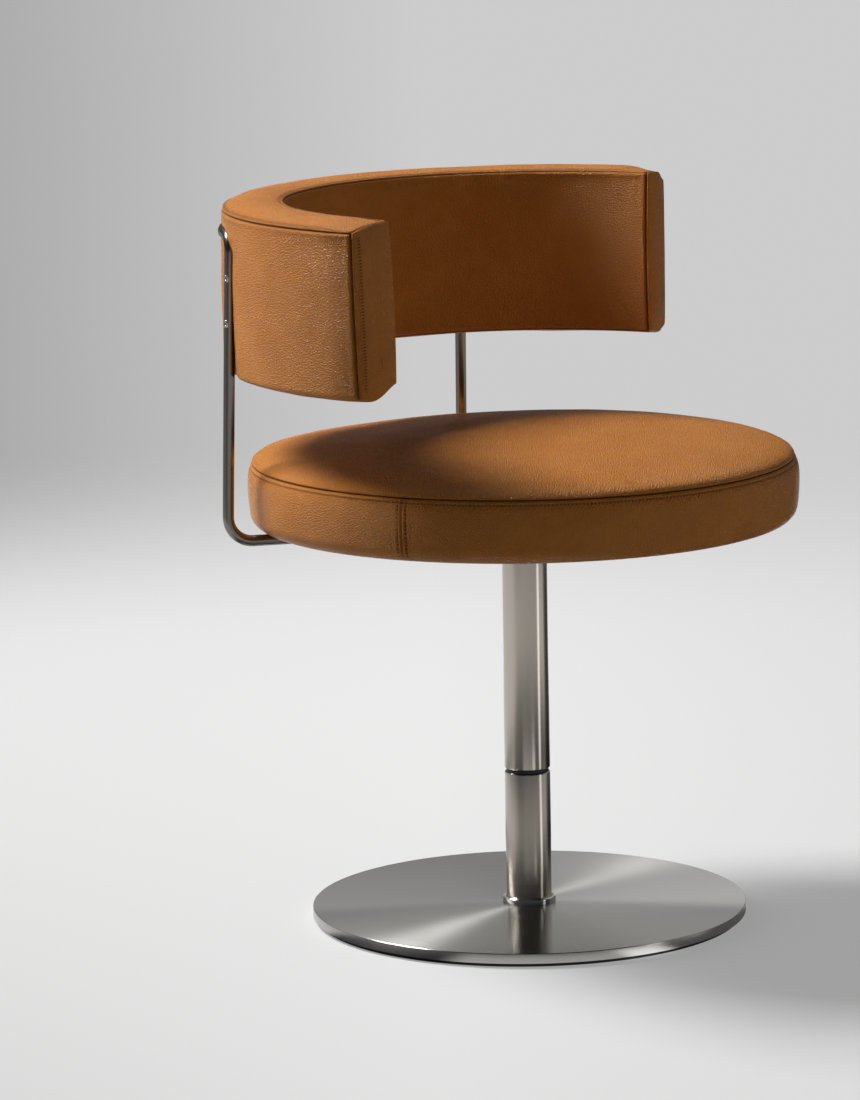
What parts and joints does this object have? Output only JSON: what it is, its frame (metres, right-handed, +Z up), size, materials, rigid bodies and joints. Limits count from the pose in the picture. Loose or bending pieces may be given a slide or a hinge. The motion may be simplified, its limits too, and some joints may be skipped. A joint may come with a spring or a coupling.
{
  "type": "swivel dining chair",
  "caption": "Dining chair with a round padded seat and a C-shaped padded back on a bent rod, turning on a tube column over a flat disc foot.",
  "frame": {"origin": "on the column's axis, at the floor, in the middle of the floor pad's underside", "axes": "+Z up along the column; -Y is where the sitter faces; +Y is the closed side of the back; +X is to the sitter's left"},
  "size_m": [0.605, 0.562, 0.7207],
  "materials": {
    "leather": "tan leather with a fine pebbled grain and matching stitching",
    "brushed_steel": "satin stainless steel, brushed round the plate and along the tubes",
    "polished_steel": "polished stainless steel",
    "zinc_steel": "zinc plated steel, dull",
    "black_plastic": "black moulded acetal, satin",
    "black_rubber": "black rubber, matt",
    "plywood": "raw birch plywood",
    "seat_foam": "cut polyurethane foam, matt",
    "lining_cloth": "black nonwoven lining cloth"
  },
  "bodies": {
    "base": {"floor_pad": "black_rubber", "base_plate": "brushed_steel", "base_bolt": "zinc_steel", "base_washer": "zinc_steel", "locating_pin": "zinc_steel", "column_collar": "polished_steel", "lower_tube": "brushed_steel", "foot_plug": "zinc_steel", "spindle_sleeve": "zinc_steel", "spindle": "zinc_steel", "thrust_ring": "black_plastic", "spindle_washer": "zinc_steel", "retaining_clip": "zinc_steel"},
    "seat": {"upper_tube": "brushed_steel", "lower_bush": "black_plastic", "upper_bush": "black_plastic", "seat_plate": "zinc_steel", "seat_board": "plywood", "bottom_cover": "lining_cloth", "seat_foam": "seat_foam", "seat_band": "leather", "seat_top": "leather", "seat_screw_1": "zinc_steel", "tee_nut_1": "zinc_steel", "seat_screw_2": "zinc_steel", "tee_nut_2": "zinc_steel", "seat_screw_3": "zinc_steel", "tee_nut_3": "zinc_steel", "seat_screw_4": "zinc_steel", "tee_nut_4": "zinc_steel", "back_frame": "brushed_steel", "back_core": "plywood", "back_inner_pad": "leather", "back_outer_pad": "leather", "back_screw_1": "polished_steel", "back_insert_1": "zinc_steel", "back_screw_2": "polished_steel", "back_insert_2": "zinc_steel", "back_screw_3": "polished_steel", "back_insert_3": "zinc_steel", "back_screw_4": "polished_steel", "back_insert_4": "zinc_steel"}
  },
  "joints": [
    {"name": "seat_swivel", "type": "hinge", "parent": "base", "child": "seat", "pos_m": [0, 0, 0.148], "axis": [0, 0, 1], "continuous": true}
  ]
}
